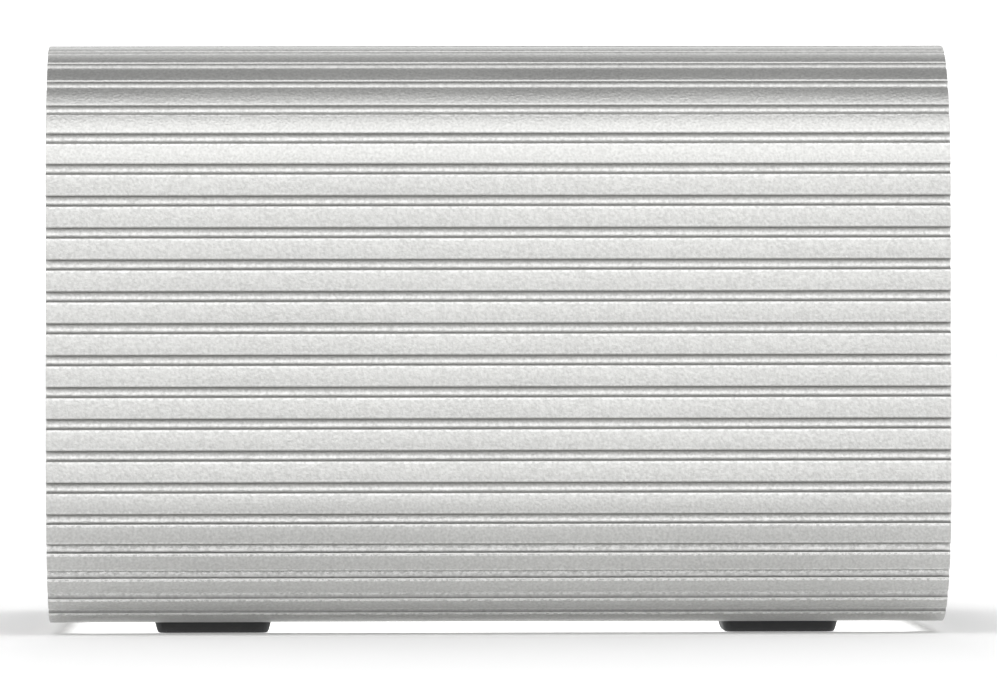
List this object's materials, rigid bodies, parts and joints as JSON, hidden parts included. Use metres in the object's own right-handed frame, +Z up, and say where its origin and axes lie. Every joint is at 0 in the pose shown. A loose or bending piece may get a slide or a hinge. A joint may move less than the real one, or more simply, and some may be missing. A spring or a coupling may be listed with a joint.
{
  "type": "micro inverter",
  "caption": "Compact battery-fed power inverter: ribbed aluminium sleeve on rubber feet, recessed end panels with mains sockets, rocker switch, fan, screw terminals and blade fuse.",
  "frame": {"origin": "on the surface the feet stand on, under the middle of the sleeve", "axes": "X runs along the extrusion towards the front (socket) panel, Y runs across the body, Z is up"},
  "size_m": [0.1, 0.108, 0.0658],
  "materials": {
    "anodised": "bead-blasted, clear anodised",
    "panel": "black powder coat, fine texture",
    "rubber": "matt moulded",
    "black_plastic": "fine moulded texture",
    "outlet_plastic": "smooth moulded",
    "steel": "zinc plated",
    "brass": "nickel-free turned brass",
    "red_plastic": "moulded",
    "fuse_plastic": "clear tinted, moulded",
    "green_lens": "diffused lens",
    "red_lens": "diffused lens",
    "laminate": "glass-epoxy laminate with solder mask",
    "ferrite": "sintered, matt",
    "copper": "enamelled winding",
    "can": "aluminium can in a shrunk plastic sleeve",
    "silicone": "soft filled silicone",
    "red_wire": "wire insulation",
    "black_wire": "wire insulation"
  },
  "bodies": {
    "inverter": {"ac_outlet_left": "outlet_plastic", "ac_outlet_right": "outlet_plastic", "alarm_buzzer": "black_plastic", "bridge_module": "black_plastic", "bulk_capacitor": "can", "control_board": "laminate", "earth_screw": "steel", "fan_frame": "black_plastic", "fan_screw_1": "steel", "fan_screw_2": "steel", "fan_screw_3": "steel", "fan_screw_4": "steel", "fault_led": "red_lens", "filter_inductor": "copper", "front_panel": "panel", "front_panel_screw_1": "steel", "front_panel_screw_2": "steel", "front_panel_screw_3": "steel", "front_panel_screw_4": "steel", "fuse_holder": "black_plastic", "heat_spreader": "anodised", "housing_sleeve": "anodised", "input_capacitor_1": "can", "input_capacitor_2": "can", "input_capacitor_3": "can", "main_board": "laminate", "negative_lead": "black_wire", "negative_stud": "brass", "positive_lead": "red_wire", "positive_stud": "brass", "power_led": "green_lens", "power_transistor_1": "black_plastic", "power_transistor_2": "black_plastic", "power_transistor_3": "black_plastic", "power_transistor_4": "black_plastic", "rear_panel": "panel", "rear_panel_screw_1": "steel", "rear_panel_screw_2": "steel", "rear_panel_screw_3": "steel", "rear_panel_screw_4": "steel", "rubber_foot_1": "rubber", "rubber_foot_2": "rubber", "rubber_foot_3": "rubber", "rubber_foot_4": "rubber", "switch_body": "black_plastic", "terminal_well": "black_plastic", "thermal_pad": "silicone", "transformer_bobbin": "outlet_plastic", "transformer_core": "ferrite", "transformer_winding": "copper", "transistor_clamp": "steel"},
    "fan_rotor": {"fan_rotor": "black_plastic"},
    "switch_rocker": {"switch_rocker": "black_plastic"},
    "blade_fuse": {"blade_fuse": "fuse_plastic"},
    "negative_washer": {"negative_washer": "brass"},
    "negative_knob": {"negative_knob": "black_plastic"},
    "positive_washer": {"positive_washer": "brass"},
    "positive_knob": {"positive_knob": "red_plastic"}
  },
  "joints": [
    {"name": "rocker_tilt", "type": "hinge", "parent": "inverter", "child": "switch_rocker", "pos_m": [0.0454, 0.0392, 0.0305], "axis": [0, -1, 0], "range_deg": [0, 14]},
    {"name": "fan_spin", "type": "hinge", "parent": "inverter", "child": "fan_rotor", "pos_m": [-0.038, 0.022, 0.0335], "axis": [-1, 0, 0], "continuous": true},
    {"name": "fuse_pull", "type": "slide", "parent": "inverter", "child": "blade_fuse", "axis": [-1, 0, 0], "range_m": [0, 0.018]},
    {"name": "negative_washer_travel", "type": "slide", "parent": "inverter", "child": "negative_washer", "axis": [-1, 0, 0], "range_m": [0, 0.004]},
    {"name": "negative_knob_turn", "type": "hinge", "parent": "negative_washer", "child": "negative_knob", "pos_m": [-0.045, -0.01075, 0.0305], "axis": [-1, 0, 0], "range_deg": [0, 1801]},
    {"name": "positive_washer_travel", "type": "slide", "parent": "inverter", "child": "positive_washer", "axis": [-1, 0, 0], "range_m": [0, 0.004]},
    {"name": "positive_knob_turn", "type": "hinge", "parent": "positive_washer", "child": "positive_knob", "pos_m": [-0.045, -0.03025, 0.0305], "axis": [-1, 0, 0], "range_deg": [0, 1801]}
  ],
  "couplings": [
    {"joint": "negative_knob_turn", "follows": "negative_washer_travel", "rad_per_m": 7854},
    {"joint": "positive_knob_turn", "follows": "positive_washer_travel", "rad_per_m": 7854}
  ]
}
